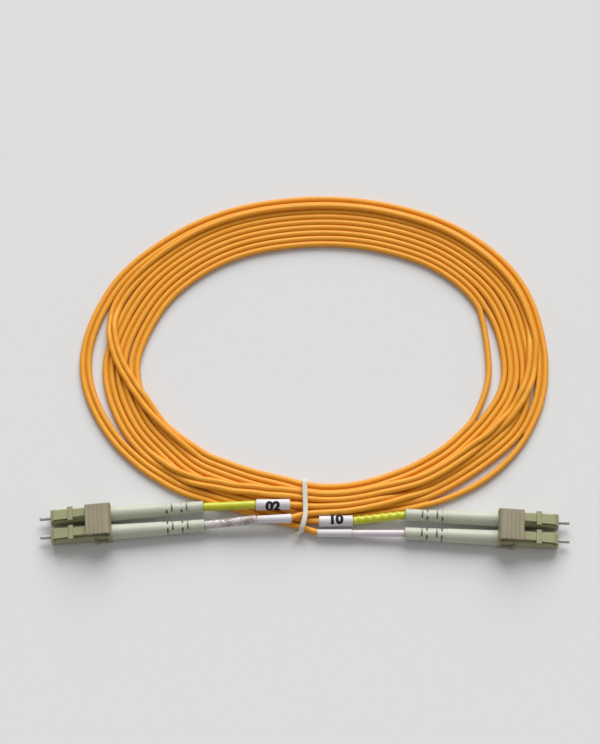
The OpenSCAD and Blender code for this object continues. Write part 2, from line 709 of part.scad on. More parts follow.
module cord_tie() {
    color(TIE_WHITE) union() {
        translate([-tie_w / 2, 0, 0]) rotate([90, 0, 90]) linear_extrude(tie_w) difference() {
            tie_outline(tie_t);
            tie_outline(0);
        }
        // the tail, bent away at the front
        translate([tie_w / 3, TIE_Y[0] - tie_t, TAIL_UP]) rotate([0, 0, tail_heading])
            translate([0, -tie_t, 0]) cube([tail_len, tie_t, TAIL_H]);
    }
}

// ---------- assembly ----------

module at_pair(s) {
    translate(HEADS[s][0]) rotate([0, 0, HEADS[s][1]]) children();
}

module at_port(s, p) {
    at_pair(s) translate([0, port_side(s, p), 0]) children();
}

for (s = [0, 1]) {
    for (p = [0, 1]) {
        tag = str("_", SIDES[s], "_", PORTS[p]);
        at_port(s, p) housing();
        at_port(s, p) latch();
        at_port(s, p) ferrule();
        at_port(s, p) ferrule_flange();
        at_port(s, p) ferrule_spring();
        at_port(s, p) rear_body();
        at_port(s, p) crimp_sleeve();
        at_port(s, p) boot();
        at_port(s, p) buffered_fibre();
        sleeve(s, p);
        label(s, p);
        leg(s, p);
    }
    at_pair(s) duplex_clip();
    at_pair(s) trigger();
}
cord_coil();
cord_tie();
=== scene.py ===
import bmesh
import bpy
import numpy as np
from math import radians
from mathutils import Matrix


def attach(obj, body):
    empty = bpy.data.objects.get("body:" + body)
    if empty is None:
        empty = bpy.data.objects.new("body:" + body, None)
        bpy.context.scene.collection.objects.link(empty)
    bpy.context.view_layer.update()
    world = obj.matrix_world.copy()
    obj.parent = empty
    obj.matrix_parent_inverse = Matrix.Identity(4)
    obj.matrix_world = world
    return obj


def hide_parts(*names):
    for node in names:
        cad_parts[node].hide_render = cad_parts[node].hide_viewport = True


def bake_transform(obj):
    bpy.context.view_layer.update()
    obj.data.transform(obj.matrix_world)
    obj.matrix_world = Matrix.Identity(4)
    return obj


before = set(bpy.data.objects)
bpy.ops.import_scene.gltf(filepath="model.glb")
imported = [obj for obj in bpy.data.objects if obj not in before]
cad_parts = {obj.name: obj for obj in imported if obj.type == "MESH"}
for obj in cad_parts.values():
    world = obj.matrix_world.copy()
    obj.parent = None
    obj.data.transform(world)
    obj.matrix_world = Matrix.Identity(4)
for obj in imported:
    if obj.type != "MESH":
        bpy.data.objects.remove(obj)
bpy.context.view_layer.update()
mm = 0.001

# ---- the table, the light and the camera ----
# A matt pale table under a wide soft light from the far side, with an even glow from all round.
# The camera looks down steeply along the plugs' side, so that the whole loop is in view.
table_half = 1.5
table_grey = 0.735
camera_at = (-1.5 * mm, -208.5 * mm, 649.9 * mm)
camera_tilt = 22
camera_lens = 101.6
lamp_heading, lamp_height = 84, 35    # where the light comes from: azimuth and height, in degrees
lamp_spread = 50
lamp_power = 3.35
glow = 0.37


def principled(name, colour, roughness, **sockets):
    """A material with one Principled shader: plain colour and roughness, and any other socket by its name."""
    made = bpy.data.materials.new(name)
    made.use_nodes = True
    shader = made.node_tree.nodes["Principled BSDF"]
    shader.inputs["Base Color"].default_value = (*colour, 1)
    shader.inputs["Roughness"].default_value = roughness
    for socket, value in sockets.items():
        shader.inputs[socket.replace("_", " ")].default_value = value
    return made


def add_node(material, kind, **values):
    """A node of one kind in the material, with its sockets set by name."""
    node = material.node_tree.nodes.new(kind)
    for socket, value in values.items():
        node.inputs[socket.replace("_", " ")].default_value = value
    return node


table_finish = principled("table_finish", (table_grey,) * 3, 0.9, Specular_IOR_Level=0.1)
table = bpy.data.objects.new("table", bpy.data.meshes.new("table"))
table.data.from_pydata([(-table_half, -table_half, 0), (table_half, -table_half, 0),
                        (table_half, table_half, 0), (-table_half, table_half, 0)], [], [(0, 1, 2, 3)])
table.data.materials.append(table_finish)
bpy.context.collection.objects.link(table)

lamp = bpy.data.objects.new("lamp", bpy.data.lights.new("lamp", "SUN"))
lamp.data.angle = radians(lamp_spread)
lamp.data.energy = lamp_power
lamp.rotation_euler = (radians(90 - lamp_height), 0, radians(lamp_heading + 90))
bpy.context.collection.objects.link(lamp)

world = bpy.data.worlds.new("room")
world.use_nodes = True
world.node_tree.nodes["Background"].inputs["Color"].default_value = (1, 1, 1, 1)
world.node_tree.nodes["Background"].inputs["Strength"].default_value = glow
bpy.context.scene.world = world
bpy.context.scene.view_settings.view_transform = "Standard"

camera = bpy.data.objects.new("camera", bpy.data.cameras.new("camera"))
camera.data.sensor_width = 36
camera.data.lens = camera_lens
camera.data.clip_start = 0.01
camera.location = camera_at
camera.rotation_euler = (radians(camera_tilt), 0, 0)
bpy.context.collection.objects.link(camera)
bpy.context.scene.camera = camera

# ---- the duplex cord ----
# Two orange fibre jackets, 2 mm thick, moulded side by side on a thin web and wound into five laps.
# The laps pass over and under each other, rest on the table, and part into single legs at both ends.
jacket_r = 1.0
jacket_gap = 2.06                   # between the middles of the two jackets of a pair
lap_gap = 2.02                      # between the middles of jackets of two laps
web_t, web_inset = 0.5, 0.75        # the web's thickness, and how far its edges lie from the jackets' middles
web_reach = 0.25                    # how much further apart than a pair two jackets may be and keep their web
web_least = 20                      # a run of web with no more sections than this is left out
web_starts, web_ends = 20, 12       # the sections at the start and end of the coil that have no web

# stations round the middle of the coil, as in the part's source: x, y
coil_middle = [[0, 9.8], [14, 9.3], [28, 11.4], [42, 15.2], [56, 23], [66, 36], [71, 55], [66, 80], [50, 97],
               [28, 106], [4, 108.6], [-22, 105], [-42, 95], [-57, 79], [-64, 56], [-56, 34], [-40, 19.6],
               [-27, 15.2], [-14, 12.8], [-5.5, 11.4]]
lap_run, sections = 374.5, 375      # the way once round, and the cross sections on it
middle_steps, middle_rounds = 40, 12    # points between two stations, and how often they are smoothed
# each lap: way round from the tie, then outward place of jacket a and of jacket b, then their height
laps = [
    [[0, 3.9, 7.1, 4.1], [8, 2.6, 5.6, 4.1], [16, 1.6, 4.6, 3.9], [26, 1.4, 3.9, 3.4], [36, 0.9, 3, 2.9],
     [46, 0, 2.1, 2.3], [56, -0.7, 1.4, 1.6], [64, 0, 2.1, 1.2], [72, 1.8, 3.9, 1], [80, 2.9, 5, 1],
     [90, 1.8, 3.9, 1], [100, 1.6, 3.7, 1], [112, 1.5, 3.6, 1], [130, 1, 3.1, 1], [160, 0.8, 2.9, 1],
     [200, 0.5, 2.6, 1], [230, 0, 2.1, 1], [250, -0.3, 1.8, 1], [262, -0.5, 1.6, 1], [272, -0.3, 1.8, 1],
     [282, 0.1, 2.2, 1], [300, 1.1, 3.2, 1], [312, 1.6, 3.7, 1.3], [325, 1.8, 3.9, 1.7],
     [338, 1.3, 3.4, 2.4], [350, 0.9, 3.1, 3.2], [362, 0.2, 2.3, 3.6], [374, -0.7, 1.3, 3.6]],
    [[0, -0.7, 1.3, 3.6], [10, -1, 1, 3.5], [20, -1.3, 0.7, 3.3], [34, -2.1, -0.1, 3],
     [46, -3.2, -1.1, 3], [60, -4.2, -2.1, 3], [70, -2.4, -0.3, 3], [80, 0.5, 2.6, 3], [90, 2.7, 4.8, 3],
     [100, 4.5, 6.6, 3], [112, 5.2, 7.3, 3], [130, 4.8, 6.9, 3], [160, 4.4, 6.5, 3], [200, 4.2, 6.3, 2.9],
     [225, 3.9, 6, 3], [245, 3.7, 5.8, 3], [255, 4, 6.1, 3.2], [263, 4.3, 6.4, 3.4], [269, 3.7, 5.9, 3.6],
     [276, 1.3, 3.7, 3.7], [284, -2.6, 0, 3.7], [292, -5.6, -3.2, 3.6], [302, -7.6, -5.5, 3.2],
     [315, -8.5, -6.5, 2.6], [330, -8.2, -6.2, 2.2], [345, -6.4, -4.5, 1.7], [358, -4.6, -2.7, 1.4],
     [374, -3.7, -1.7, 1.5]],
    [[0, -3.7, -1.7, 1.5], [12, -3.9, -1.9, 1], [24, -4.7, -2.7, 1], [36, -6.3, -4.3, 1],
     [48, -8.2, -6.2, 1], [58, -9.1, -7.1, 1], [68, -9.4, -7.2, 1], [78, -9.5, -5.7, 1],
     [88, -9.5, -4.4, 1], [97, -9.5, -4.2, 1], [104, -9.3, -4.3, 1], [111, -8.9, -4.8, 1],
     [118, -8.2, -5.3, 1], [128, -7.6, -5.4, 1], [160, -7.6, -5.5, 1], [200, -7.9, -5.8, 1],
     [230, -8.4, -6.3, 1], [250, -8.7, -6.6, 1], [265, -9, -6.9, 1], [278, -8.6, -6.5, 1],
     [290, -8, -5.9, 1], [304, -7.1, -5, 1], [320, -6.2, -4.1, 1], [335, -4.5, -2.5, 1],
     [346, -2.9, -0.9, 1], [360, -0.8, 1.2, 1.2], [374, 0.3, 2.3, 1.5]],
    [[0, 0.3, 2.3, 1.5], [12, 0, 2, 1], [24, -1.2, 0.8, 1], [36, -2.6, -0.6, 1], [48, -4.4, -2.4, 1],
     [60, -5.9, -3.8, 1], [70, -5, -2.9, 1], [80, -3.3, -1.2, 1], [90, -2.2, -0.1, 1],
     [100, -2.2, -0.1, 1], [112, -2.8, -0.7, 1], [130, -3.3, -1.2, 1], [160, -3.5, -1.4, 1],
     [200, -3.7, -1.6, 1], [230, -4.2, -2.1, 1], [250, -4.5, -2.4, 1], [265, -4.8, -2.7, 1],
     [275, -4.4, -2.3, 1], [288, -3.8, -1.7, 1], [303, -2.9, -0.8, 1], [320, -2.1, 0, 1],
     [335, -0.1, 2, 1], [348, 2.2, 4.2, 1], [360, 3.8, 5.8, 1.2], [374, 4.3, 6.3, 1.5]],
    [[0, 4.3, 6.3, 1.5], [12, 4.2, 6.3, 1], [24, 4.1, 6.4, 1], [36, 4.1, 6.9, 1], [46, 3.8, 7.3, 1],
     [56, 3.3, 7.5, 1], [64, 4.1, 7.9, 1], [72, 5.9, 8.5, 1], [80, 7, 9.1, 1], [92, 7.2, 9.3, 1],
     [105, 7.4, 9.5, 1], [125, 7.3, 9.4, 1], [160, 7.1, 9.2, 1], [200, 6.9, 9, 1], [230, 6.6, 8.7, 1],
     [245, 6.8, 8.9, 1], [258, 7.5, 9.6, 1], [270, 8.1, 10.2, 1], [284, 8.2, 10.3, 1], [300, 7.4, 9.5, 1],
     [316, 6.1, 8.2, 1], [330, 5.3, 7.4, 1], [342, 5.2, 7.3, 1], [352, 6, 8.1, 1], [362, 7.3, 9.4, 1.1],
     [374, 8.3, 10.4, 1.7]],
]
torn_apart = [(2, 70, 120), (4, 38, 78)]    # lap, from, to: here the two jackets of a pair are torn apart
tie_lift, tie_lift_len = 0.5, 4.0   # the cord is lifted over the tie
pair_push, lap_push = 0.35, 0.245   # the share of a gap or overlap that one round takes away at each side
hold, sink = 0.02, 0.012            # how far a round draws the jackets to their places, and lets them sink
settle_rounds = 260

# the plugs and the legs, as in the part's source
span, axis_z, pitch = 163.4, 2.73, 6.25
heads = [[(-span / 2, -1.2, axis_z), 184.5], [(span / 2, -2.6, axis_z), -3.0]]
leg_headings = [[[(0.8, 5.2), (0.5, 0)], [(5.2, 5.4), (1.5, 0)]],
                [[(186.3, -1.5), (181, 0)], [(179.2, -2.1), (179.6, 0)]]]
jacket_front, boot_rear, sleeve_len, label_len, cord_gap = 24.1, 49.3, 16.5, 10.8, 0.25
leg_rows, leg_rounds = 70, 8        # the points at each end of a jacket that are rounded, and how often
end_names, port_names = ("left", "right"), ("a", "b")
plugs = [(f"{end_names[side]}_{port_names[port]}", side, port) for side in (0, 1) for port in (0, 1)]


def port_point(side, port, back):
    """A point on a plug's axis: back from the pair's front along its heading, and half a pitch aside."""
    head, yaw = heads[side]
    across = (1 if port == 0 else -1) * (1 if side == 1 else -1) * pitch / 2
    c, s = np.cos(radians(yaw)), np.sin(radians(yaw))
    return np.array(head) + [-back * c - across * s, -back * s + across * c, 0]


def heading(azimuth, climb):
    """The unit direction with that azimuth and that climb, in degrees."""
    a, e = radians(azimuth), radians(climb)
    return np.array([np.cos(a) * np.cos(e), np.sin(a) * np.cos(e), np.sin(e)])


def leg_corners(side, port):
    """The leg's corners from the crimp through the boot's mouth and the sleeve to the label's end."""
    mouth = port_point(side, port, boot_rear)
    sleeve_end = mouth + (sleeve_len + 2 * cord_gap) * heading(*leg_headings[side][port][0])
    label_end = sleeve_end + (label_len + 2 * cord_gap) * heading(*leg_headings[side][port][1])
    return np.array([port_point(side, port, jacket_front), mouth, sleeve_end, label_end])


def closed_curve(stations, steps):
    """A smooth closed curve through the stations: between two of them a cubic whose slope at each is half of
    the way between its two neighbours."""
    a, b, c, d = (np.roll(stations, shift, 0)[:, None] for shift in (1, 0, -1, -2))
    t = (np.arange(steps) / steps)[None, :, None]
    curve = 0.5 * (2 * b + (c - a) * t + (2 * a - 5 * b + 4 * c - d) * t ** 2
                   + (3 * b - a - 3 * c + d) * t ** 3)
    return curve.reshape(-1, stations.shape[1])


def even_steps(line, step):
    """The same line with its points at equal distances of about one step."""
    run = np.r_[0, np.cumsum(np.linalg.norm(np.diff(line, axis=0), axis=1))]
    at = np.linspace(0, run[-1], int(round(run[-1] / step)) + 1)
    return np.stack([np.interp(at, run, line[:, k]) for k in range(line.shape[1])], 1)


def smoothed(line, rounds):
    """The line with each inner point moved towards the middle of its neighbours, its ends held."""
    line = line.copy()
    for _ in range(rounds):
        line[1:-1] = 0.5 * line[1:-1] + 0.25 * (line[:-2] + line[2:])
    return line


def lap_table(rows, count):
    """A lap's rows as a value for each cross section: cubic pieces through the rows with averaged slopes."""
    rows = np.array(rows, float)
    at = np.arange(count)
    x = rows[:, 0] * (count - 1) / rows[-1, 0]
    i = np.clip(np.searchsorted(x, at, side="right") - 1, 0, len(x) - 2)
    h = x[i + 1] - x[i]
    u = ((at - x[i]) / h)[:, None]
    y, m = rows[:, 1:], np.gradient(rows[:, 1:], x, axis=0)
    h = h[:, None]
    return ((2 * u ** 3 - 3 * u ** 2 + 1) * y[i] + (u ** 3 - 2 * u ** 2 + u) * h * m[i]
            + (3 * u ** 2 - 2 * u ** 3) * y[i + 1] + (u ** 3 - u ** 2) * h * m[i + 1]).T


def settle(out, up):
    """Lets the wound jackets come to rest. In every cross section two of them that lie in each other are
    pushed apart along the line between them, and the two of a pair are also drawn together, but for where
    they are torn apart. All are drawn back to their places and sink, none goes below the table, and each
    is kept smooth along its length. The arrays are lap, jacket, section."""
    out, up = out.copy(), up.copy()
    wanted = out.copy()
    count = len(laps)
    first, second = np.triu_indices(2 * count, 1)
    pair = (first // 2 == second // 2)[:, None]
    least = np.where(pair, jacket_gap, lap_gap)
    drawn = np.repeat(pair, sections, axis=1)
    for lap, from_here, to_here in torn_apart:
        drawn[pair[:, 0] & (first == 2 * lap), from_here:to_here] = False
    from_tie = np.minimum(np.arange(sections), sections - 1 - np.arange(sections))
    table_up = jacket_r + tie_lift * np.exp(-(from_tie / tie_lift_len) ** 4)
    first_place, last_place = (0, slice(None), 0), (-1, slice(None), -1)
    ends = [(array, at, array[at].copy()) for array in (out, up) for at in (first_place, last_place)]
    for _ in range(settle_rounds):
        w, z = out.reshape(2 * count, -1), up.reshape(2 * count, -1)
        slope = np.gradient(w, axis=1)
        lean = 1 / np.sqrt(1 + (slope[first] - slope[second]) ** 2)
        dw, dz = (w[first] - w[second]) * lean, z[first] - z[second]
        far = np.sqrt(dw ** 2 + dz ** 2) + 1e-6
        gap = np.where(drawn, least - far, np.maximum(least - far, 0))
        push = np.where(pair, pair_push, lap_push) * gap / far
        for array, part in ((w, dw * lean), (z, dz)):
            np.add.at(array, first, push * part)
            np.add.at(array, second, -push * part)
        out += hold * (wanted - out)
        up -= sink
        for array in (out, up):
            for jacket in (0, 1):
                line = np.r_[array[:, jacket, :-1].ravel(), array[-1, jacket, -1]]
                line[1:-1] += 0.5 * (0.25 * (line[:-2] + line[2:]) - 0.5 * line[1:-1])
                array[:, jacket, :-1] = line[:-1].reshape(count, -1)
                array[:-1, jacket, -1] = array[1:, jacket, 0]
        for array, at, value in ends:
            array[at] = value
        np.maximum(up, table_up, out=up)
    return out, up


middle = closed_curve(np.array(coil_middle, float), middle_steps)
middle = even_steps(np.vstack([middle, middle[:1]]), lap_run / (sections - 1))[:sections - 1]
for _ in range(middle_rounds):
    middle = 0.5 * middle + 0.25 * (np.roll(middle, 1, 0) + np.roll(middle, -1, 0))
course = np.roll(middle, -1, 0) - np.roll(middle, 1, 0)
course /= np.linalg.norm(course, axis=1)[:, None]
middle, course = (np.vstack([v, v[:1]]) for v in (middle, course))
outwards = np.stack([course[:, 1], -course[:, 0]], 1)
table_rows = np.array([lap_table(rows, len(middle)) for rows in laps])
start_up = np.repeat(table_rows[:, 2:3], 2, axis=1)
lap_out, lap_up = settle(table_rows[:, 0:2], start_up)
wound = np.concatenate([middle + lap_out[..., None] * outwards, lap_up[..., None]], axis=3)
wound = np.stack([np.vstack([wound[:, j, :-1].reshape(-1, 3), wound[-1:, j, -1]]) for j in (0, 1)])


def jacket_line(port):
    """One jacket's middle line from the left crimp, round all laps, to the right crimp. The stretches between
    the labels and the coil are rounded, and the ones in the boots are kept straight."""
    left, right = leg_corners(0, port), leg_corners(1, port)[::-1]
    parts = [even_steps(np.vstack([left, wound[port, :1]]), 1.0)[:-1], wound[port],
             even_steps(np.vstack([wound[port, -1:], right]), 1.0)[1:]]
    line = np.vstack(parts)
    in_boot = int(boot_rear - jacket_front) - 2
    line[in_boot:leg_rows] = smoothed(line[in_boot:leg_rows], leg_rounds)
    line[-leg_rows:-in_boot] = smoothed(line[-leg_rows:-in_boot], leg_rounds)
    return line


def tube_grid(line, radius, sides):
    """Rings round a line: each point is the line's own plus the radius times the cosine across and the sine
    upwards. The radius is one number, or one for each ring, or one for each ring and side."""
    along = np.gradient(line, axis=0)
    along /= np.linalg.norm(along, axis=1)[:, None]
    across = np.cross(along, [0, 0, 1])
    across /= np.linalg.norm(across, axis=1)[:, None]
    above = np.cross(across, along)
    a = 2 * np.pi * np.arange(sides) / sides
    radius = np.broadcast_to(np.asarray(radius, float).reshape(-1, 1) if np.ndim(radius) < 2 else radius,
                             (len(line), sides))
    outward = np.cos(a)[:, None] * across[:, None] + np.sin(a)[:, None] * above[:, None]
    return line[:, None] + radius[..., None] * outward


def grid_piece(name, grid, material, body="patch_cord"):
    """A piece whose surface is a grid of rings: quads between neighbours, each ring closed on itself and the
    first and last ring closed by a flat face. Its UV map runs along the piece and round it, in metres."""
    rings, sides = grid.shape[:2]
    here = np.arange(rings * sides).reshape(rings, sides)
    beside = np.roll(here, -1, axis=1)
    quads = np.stack([here[:-1], here[1:], beside[1:], beside[:-1]], -1).reshape(-1, 4)
    faces = quads.tolist() + [here[0].tolist(), here[-1][::-1].tolist()]
    mesh = bpy.data.meshes.new(name)
    mesh.from_pydata((grid.reshape(-1, 3) * mm).tolist(), [], faces)
    run = np.r_[0, np.cumsum(np.linalg.norm(np.diff(grid.mean(1), axis=0), axis=1))] * mm
    turn = np.arange(sides + 1) / sides * 0.01
    corner_u = np.stack([run[:-1], run[1:], run[1:], run[:-1]], 1)[:, None].repeat(sides, 1)
    corner_v = np.stack([turn[:-1], turn[:-1], turn[1:], turn[1:]], 1)[None].repeat(rings - 1, 0)
    uv = np.vstack([np.stack([corner_u, corner_v], -1).reshape(-1, 2), np.zeros((2 * sides, 2))])
    mesh.uv_layers.new(name="skin").data.foreach_set("uv", uv.ravel().astype(np.float32))
    mesh.shade_smooth()
    mesh.materials.append(material)
    piece = bpy.data.objects.new(name, mesh)
    bpy.context.collection.objects.link(piece)
    if body:
        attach(piece, body)
    return piece


def tone_group():
    """A node group that drifts slowly from one colour to another, with finer specks in between."""
    group = bpy.data.node_groups.new("tone_drift", "ShaderNodeTree")
    for name, kind, value in (("Colour", "NodeSocketColor", (0.5, 0.5, 0.5, 1)),
                              ("Deep colour", "NodeSocketColor", (0.4, 0.4, 0.4, 1)),
                              ("Scale", "NodeSocketFloat", 100.0), ("Specks", "NodeSocketFloat", 0.3)):
        group.interface.new_socket(name=name, in_out="INPUT", socket_type=kind).default_value = value
    group.interface.new_socket(name="Colour", in_out="OUTPUT", socket_type="NodeSocketColor")
    group.interface.new_socket(name="Mask", in_out="OUTPUT", socket_type="NodeSocketFloat")
    inside, outside = group.nodes.new("NodeGroupInput"), group.nodes.new("NodeGroupOutput")
    place = group.nodes.new("ShaderNodeTexCoord")
    slow, fine = group.nodes.new("ShaderNodeTexNoise"), group.nodes.new("ShaderNodeTexNoise")
    slow.inputs["Detail"].default_value = 3
    fine.inputs["Detail"].default_value = 6
    finer = group.nodes.new("ShaderNodeMath")
    finer.operation = "MULTIPLY"
    finer.inputs[1].default_value = 9
    both = group.nodes.new("ShaderNodeMix")
    spread = group.nodes.new("ShaderNodeMapRange")
    spread.inputs["From Min"].default_value = 0.3
    spread.inputs["From Max"].default_value = 0.7
    mix = group.nodes.new("ShaderNodeMix")
    mix.data_type = "RGBA"
    link = group.links.new
    link(place.outputs["Object"], slow.inputs["Vector"])
    link(place.outputs["Object"], fine.inputs["Vector"])
    link(inside.outputs["Scale"], slow.inputs["Scale"])
    link(inside.outputs["Scale"], finer.inputs[0])
    link(finer.outputs[0], fine.inputs["Scale"])
    link(inside.outputs["Specks"], both.inputs["Factor"])
    link(slow.outputs["Fac"], both.inputs["A"])
    link(fine.outputs["Fac"], both.inputs["B"])
    link(both.outputs["Result"], spread.inputs["Value"])
    link(spread.outputs["Result"], mix.inputs["Factor"])
    link(inside.outputs["Colour"], mix.inputs["A"])
    link(inside.outputs["Deep colour"], mix.inputs["B"])
    link(mix.outputs["Result"], outside.inputs["Colour"])
    link(spread.outputs["Result"], outside.inputs["Mask"])
    return group


tone_drift = tone_group()


def add_tone(material, colour, deep, scale, specks=0.3, rough=None):
    """Places the drift of tone in a material's colour, and in its roughness between two values."""
    tree = material.node_tree
    node = tree.nodes.new("ShaderNodeGroup")
    node.node_tree = tone_drift
    node.inputs["Colour"].default_value = (*colour, 1)
    node.inputs["Deep colour"].default_value = (*deep, 1)
    node.inputs["Scale"].default_value = scale
    node.inputs["Specks"].default_value = specks
    shader = tree.nodes["Principled BSDF"]
    tree.links.new(node.outputs["Colour"], shader.inputs["Base Color"])
    if rough:
        ramp = add_node(material, "ShaderNodeMapRange", To_Min=rough[0], To_Max=rough[1])
        tree.links.new(node.outputs["Mask"], ramp.inputs["Value"])
        tree.links.new(ramp.outputs["Result"], shader.inputs["Roughness"])
    return node


def add_grain(material, scale, depth, stretch=(1, 1, 1), rounding=0.0):
    """Adds a fine bump to a material: noise on its own coordinates, stretched, and edges rounded in shade."""
    tree = material.node_tree
    place = add_node(material, "ShaderNodeTexCoord")
    turn = add_node(material, "ShaderNodeMapping", Scale=stretch)
    noise = add_node(material, "ShaderNodeTexNoise", Scale=scale, Detail=4.0, Roughness=0.6)
    bump = add_node(material, "ShaderNodeBump", Strength=1.0, Distance=depth)
    tree.links.new(place.outputs["Object"], turn.inputs["Vector"])
    tree.links.new(turn.outputs["Vector"], noise.inputs["Vector"])
    tree.links.new(noise.outputs["Fac"], bump.inputs["Height"])
    if rounding:
        edge = add_node(material, "ShaderNodeBevel", Radius=rounding)
        edge.samples = 4
        tree.links.new(edge.outputs["Normal"], bump.inputs["Normal"])
    tree.links.new(bump.outputs["Normal"], tree.nodes["Principled BSDF"].inputs["Normal"])


jacket_orange = principled("jacket_orange", (0.87, 0.40, 0.03), 0.5, Specular_IOR_Level=0.35,
                           Subsurface_Weight=0.35, Subsurface_Radius=(1.0, 0.4, 0.1), Subsurface_Scale=0.0008)
tone = add_tone(jacket_orange, (0.895, 0.43, 0.036), (0.845, 0.37, 0.023), 55, 0.35, rough=(0.45, 0.56))
add_grain(jacket_orange, 2600, 0.00002)
# painted shade: where the jacket is seen at a slant, towards its edges, its colour is mixed to a deeper and
# redder orange, as its shaded sides look
slant = add_node(jacket_orange, "ShaderNodeLayerWeight", Blend=0.4)
edge_shade_mix = jacket_orange.node_tree.nodes.new("ShaderNodeMix")
edge_shade_mix.data_type = "RGBA"
# the deeper, redder orange of the painted shade on the jackets' edges
edge_shade_mix.inputs["B"].default_value = (0.62, 0.19, 0.004, 1)
join = jacket_orange.node_tree.links.new
join(slant.outputs["Facing"], edge_shade_mix.inputs["Factor"])
join(tone.outputs["Colour"], edge_shade_mix.inputs["A"])
join(edge_shade_mix.outputs["Result"], jacket_orange.node_tree.nodes["Principled BSDF"].inputs["Base Color"])

for port, letter in enumerate(port_names):
    line = jacket_line(port)
    jacket = grid_piece(f"cord_jacket_{letter}", tube_grid(line, jacket_r, 14), jacket_orange)
    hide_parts(f"leg_left_{letter}", f"leg_right_{letter}", *(["cord_coil"] if port == 0 else []))

# the web between the two jackets of the pair, in one run for each stretch in which they lie together
paired = np.linalg.norm(wound[0] - wound[1], axis=1) < jacket_gap + web_reach
paired[:web_starts] = paired[-web_ends:] = False
edges = np.flatnonzero(np.diff(np.r_[0, paired.astype(int), 0])).reshape(-1, 2)
on_jacket = ([], [])    # the web, and later the sleeves, labels and tie that each jacket carries
for start, stop in edges[edges[:, 1] - edges[:, 0] > web_least]:
    side_a, side_b = wound[0, start:stop], wound[1, start:stop]
    between = side_b - side_a
    between /= np.linalg.norm(between, axis=1)[:, None]
    above = np.cross(between, np.gradient(side_a, axis=0))
    above *= (web_t / 2 / np.linalg.norm(above, axis=1))[:, None]
    inset = web_inset * between
    corners = [side_a + inset - above, side_b - inset - above, side_b - inset + above, side_a + inset + above]
    web = grid_piece(f"cord_web_{len(on_jacket[0]) + 1}", np.stack(corners, 1), jacket_orange)
    on_jacket[0].append(web)

# ---- the sleeves ----
# Coloured tubes slipped over each leg behind its boot: yellow ones mark one fibre, white ones the other.
# One white tube is shrunk and crinkled, the other is thin and tight, and one yellow tube is spirally ribbed.
sleeve_edge = 0.1                   # the rounding of the tubes' ends
hair = 0.015                        # left between a tube's end and its neighbour
bore_r = jacket_r + 0.03
plain_sleeve_r, tight_sleeve_r, crinkled_r = 1.4, 1.1, 1.36
rib_depth, rib_pitch, rib_swell = 0.16, 2.5, 1.3
crinkle_depth, crinkle_waves = 0.24, 26


def straight(start, direction, length, step=0.25):
    """Points along a straight stretch, which reaches into the gaps before and behind it but for a hair."""
    at = np.linspace(hair, length + 2 * cord_gap - hair, int(length / step) + 3)
    return start + at[:, None] * direction


def place_tube(name, start, direction, length, radius, material, slot, node, sides=28):
    """A tube on a leg, made from its radius along and round, in place of its plain solid. Its ends are
    rounded with a quarter circle and close on the jacket."""
    line = straight(start, direction, length)
    at = np.linspace(0, length, len(line))
    inward = np.clip(sleeve_edge - np.minimum(at, length - at), 0, sleeve_edge)
    full = np.broadcast_to(radius(line, sides), (len(line), sides))
    edge = np.minimum(sleeve_edge, full - bore_r)
    profile = full - edge * (1 - np.sqrt(1 - (inward[:, None] / sleeve_edge) ** 2))
    profile[[0, -1]] = bore_r
    piece = grid_piece(name, tube_grid(line, profile, sides), material)
    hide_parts(node)
    return piece


def plain_radius(value):
    """The same radius everywhere."""
    return lambda line, sides: np.full((len(line), sides), value)


def ribbed_radius(line, sides):
    """A spiral rib: the radius swells with the cosine of the way along plus the turn, sharpened."""
    run = np.linspace(0, sleeve_len, len(line))[:, None]
    turn = 2 * np.pi * np.arange(sides)[None] / sides
    wave = 0.5 + 0.5 * np.cos(2 * np.pi * run / rib_pitch + turn)
    return plain_sleeve_r - rib_depth + rib_swell * rib_depth * wave ** 1.5


def crinkled_radius(line, sides):
    """Shrunk film: short waves of chance length, direction and phase are added up, and the radius falls
    with the size of their sum."""
    chance = np.random.default_rng(11)
    run = np.linspace(0, sleeve_len, len(line))[:, None]
    turn = 2 * np.pi * np.arange(sides)[None] / sides
    folds = np.zeros((len(line), sides))
    for _ in range(crinkle_waves):
        lengthways, round_it = chance.uniform(0.8, 5.5), chance.integers(-5, 6)
        folds += np.cos(lengthways * run + round_it * turn + chance.uniform(0, 6.28))
    return crinkled_r + crinkle_depth * (0.5 - np.abs(folds) / 6)


sleeve_yellow = principled("sleeve_yellow", (0.60, 0.60, 0.02), 0.34, Coat_Weight=0.15, Coat_Roughness=0.2)
add_tone(sleeve_yellow, (0.63, 0.62, 0.022), (0.50, 0.52, 0.015), 240, 0.3, rough=(0.28, 0.42))
add_grain(sleeve_yellow, 1500, 0.00002)
sleeve_white = principled("sleeve_white", (0.72, 0.64, 0.67), 0.35, Subsurface_Weight=0.25,
                          Subsurface_Radius=(1, 0.8, 0.8), Subsurface_Scale=0.0005)
add_tone(sleeve_white, (0.74, 0.67, 0.70), (0.64, 0.54, 0.58), 200, 0.3, rough=(0.3, 0.42))
add_grain(sleeve_white, 1500, 0.00002)
sleeve_film = principled("sleeve_film", (0.66, 0.65, 0.66), 0.22, Coat_Weight=0.5, Coat_Roughness=0.1)
add_tone(sleeve_film, (0.84, 0.81, 0.82), (0.20, 0.12, 0.10), 300, 0.4, rough=(0.15, 0.35))
add_grain(sleeve_film, 900, 0.00008)

sleeve_kinds = {"left_a": (plain_radius(plain_sleeve_r), sleeve_yellow, "yellow_sleeve"),
                "left_b": (crinkled_radius, sleeve_film, "white_sleeve"),
                "right_a": (ribbed_radius, sleeve_yellow, "yellow_sleeve"),
                "right_b": (plain_radius(tight_sleeve_r), sleeve_white, "white_sleeve")}
for tag, side, port in plugs:
    start, direction = leg_corners(side, port)[1], heading(*leg_headings[side][port][0])
    on_jacket[port].append(place_tube(f"marking_sleeve_{tag}", start, direction, sleeve_len,
                                      *sleeve_kinds[tag], f"sleeve_{tag}"))

